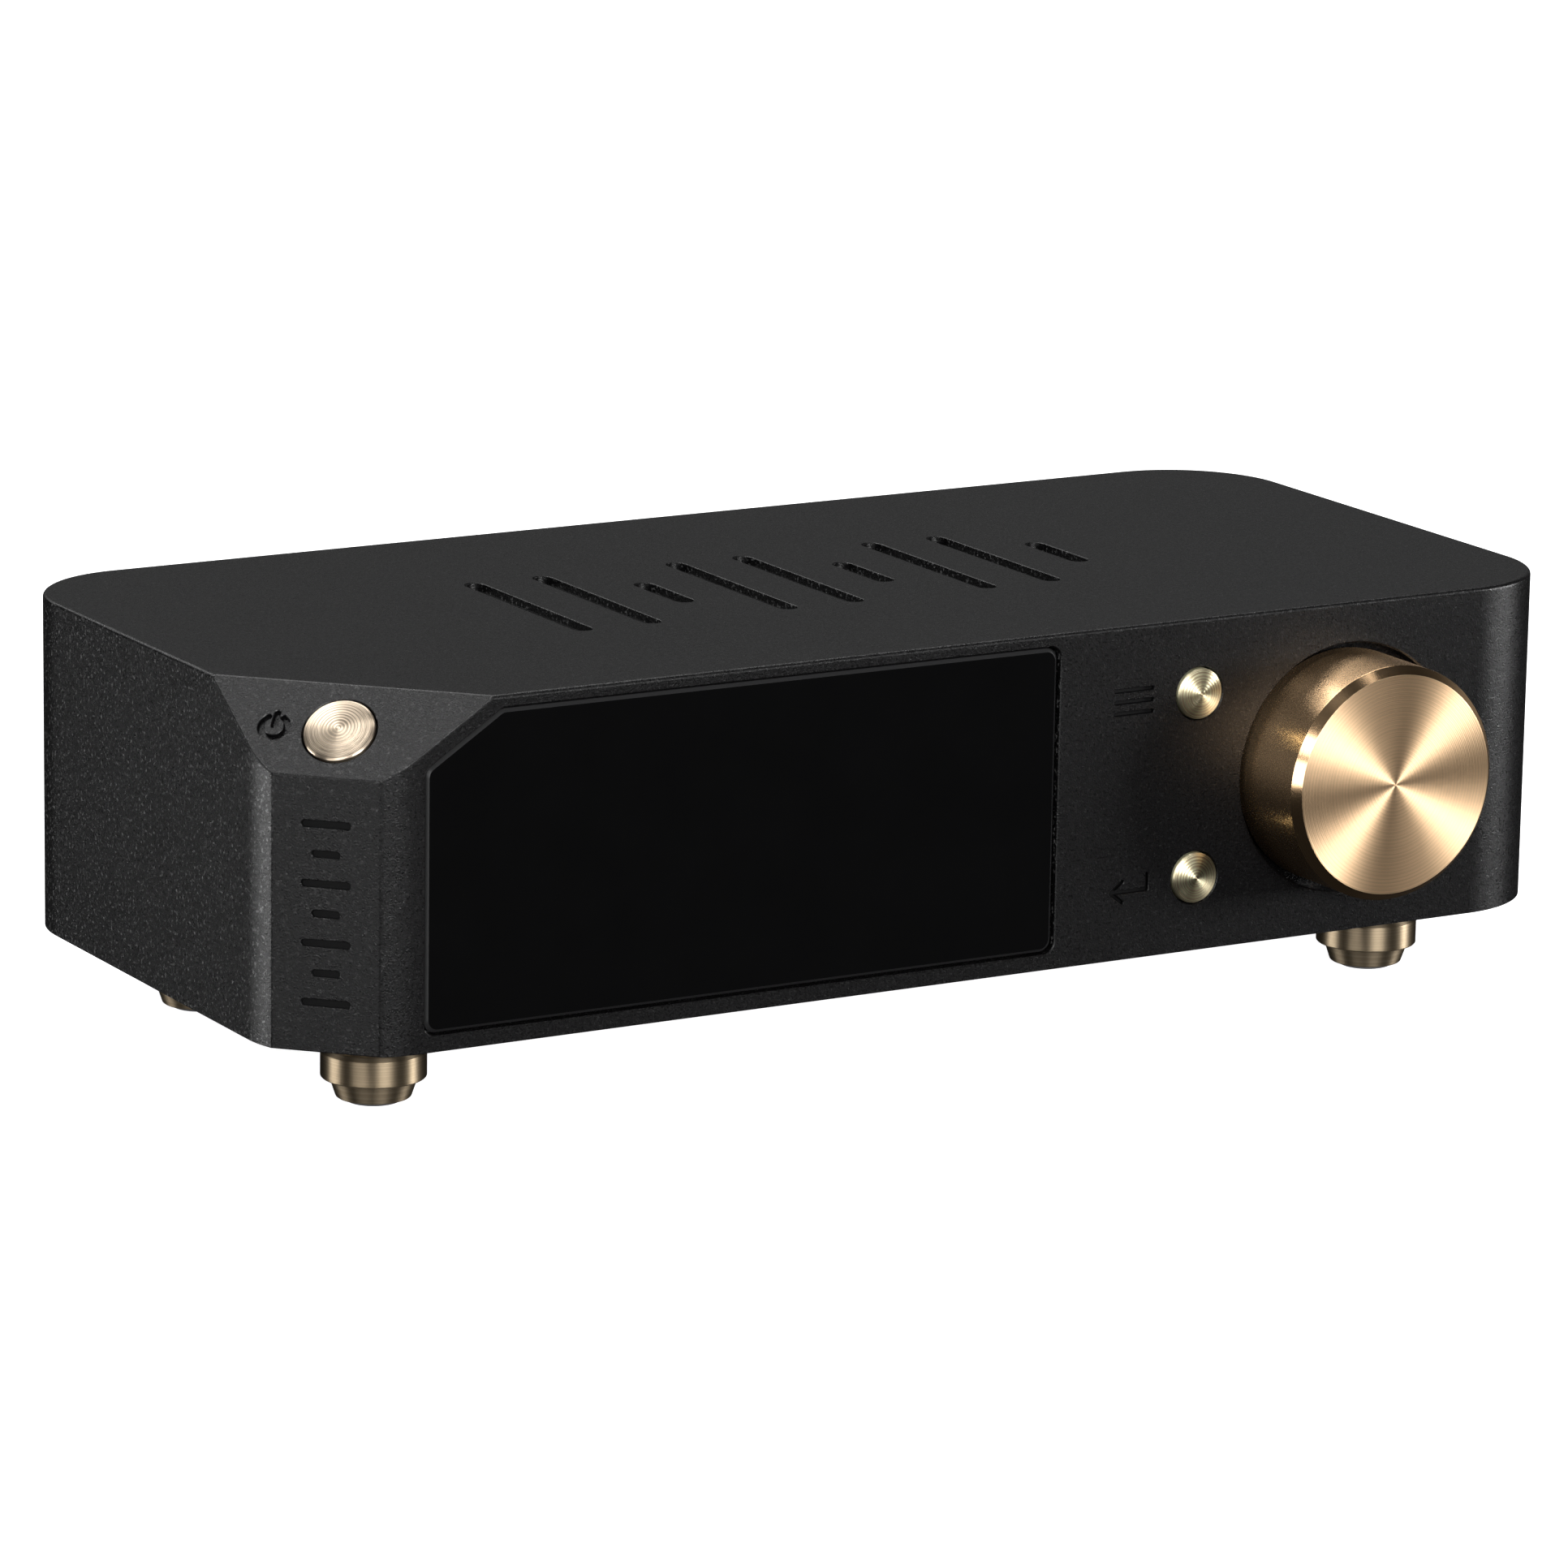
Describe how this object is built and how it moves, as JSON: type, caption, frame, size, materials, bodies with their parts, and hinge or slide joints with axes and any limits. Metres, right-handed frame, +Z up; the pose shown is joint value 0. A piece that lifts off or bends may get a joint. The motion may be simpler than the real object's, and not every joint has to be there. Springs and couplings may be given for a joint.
{
  "type": "digital audio player",
  "caption": "Desktop digital audio player: milled box on turned feet, with display window, rotary push knob, buttons and rear sockets.",
  "frame": {"origin": "bottom centre of the whole object's box, on the surface that the four feet stand on", "axes": "+X to the right seen from the front, +Y from the front to the rear, +Z up"},
  "size_m": [0.18, 0.1032, 0.0527],
  "materials": {
    "black_aluminium": "fine blasted matte black",
    "gold_metal": "champagne gold, finely turned",
    "black_glass": "smooth black glass",
    "grey_rubber": "matte grey",
    "black_plastic": "matte",
    "steel": "satin",
    "circuit_board": "solder resist",
    "ribbon_film": "translucent amber film",
    "jack_gold": "gold plated"
  },
  "bodies": {
    "chassis": {"housing": "black_aluminium", "bottom_cover": "black_aluminium", "cover_screw_1": "steel", "cover_screw_2": "steel", "cover_screw_3": "steel", "cover_screw_4": "steel", "rear_panel": "black_aluminium", "panel_screw_1": "steel", "panel_screw_2": "steel", "panel_screw_3": "steel", "panel_screw_4": "steel", "foot_front_left": "gold_metal", "foot_front_right": "gold_metal", "foot_rear_left": "gold_metal", "foot_rear_right": "gold_metal", "foot_pad_front_left": "grey_rubber", "foot_pad_front_right": "grey_rubber", "foot_pad_rear_left": "grey_rubber", "foot_pad_rear_right": "grey_rubber", "display_window": "black_glass", "display_gasket": "black_plastic", "lcd_module": "black_plastic", "display_ribbon": "ribbon_film", "encoder_body": "steel", "encoder_nut": "steel", "front_board": "circuit_board", "menu_switch": "black_plastic", "return_switch": "black_plastic", "power_switch": "black_plastic", "power_board": "circuit_board", "power_board_screw_1": "steel", "power_board_screw_2": "steel", "main_board": "circuit_board", "board_screw_1": "steel", "board_screw_2": "steel", "board_screw_3": "steel", "board_screw_4": "steel", "converter_module": "black_aluminium", "clock_module": "steel", "supply_capacitor_1": "black_plastic", "supply_capacitor_2": "black_plastic", "line_out_left": "jack_gold", "line_out_right": "jack_gold", "coaxial_input": "jack_gold", "optical_input": "black_plastic", "digital_port": "steel", "data_port": "steel", "power_port": "steel"},
    "push_slide": {"encoder_plunger": "black_plastic"},
    "knob_turn": {"knob": "gold_metal", "knob_set_screw": "steel", "encoder_shaft": "steel"},
    "menu_key": {"menu_button": "gold_metal", "menu_plunger": "steel"},
    "return_key": {"return_button": "gold_metal", "return_plunger": "steel"},
    "power_key": {"power_button": "gold_metal", "power_plunger": "steel"},
    "optical_door": {"optical_shutter": "black_plastic"}
  },
  "joints": [
    {"name": "knob_push", "type": "slide", "parent": "chassis", "child": "push_slide", "axis": [0, 1, 0], "range_m": [0, 0.0005], "stiffness_N_per_m": 4000},
    {"name": "knob_spin", "type": "hinge", "parent": "push_slide", "child": "knob_turn", "pos_m": [0.0556, -0.04075, 0.03155], "axis": [0, 1, 0], "continuous": true},
    {"name": "menu_press", "type": "slide", "parent": "chassis", "child": "menu_key", "axis": [0, 1, 0], "range_m": [0, 0.0005], "stiffness_N_per_m": 3000},
    {"name": "return_press", "type": "slide", "parent": "chassis", "child": "return_key", "axis": [0, 1, 0], "range_m": [0, 0.0005], "stiffness_N_per_m": 3000},
    {"name": "power_press", "type": "slide", "parent": "chassis", "child": "power_key", "axis": [0.4775, 0.4775, -0.7375], "range_m": [0, 0.0006], "stiffness_N_per_m": 3000},
    {"name": "optical_shutter_swing", "type": "hinge", "parent": "chassis", "child": "optical_door", "pos_m": [-0.001, 0.04135, 0.0318], "axis": [-1, 0, 0], "range_deg": [0, 80], "stiffness_Nm_per_rad": 0.0003}
  ]
}
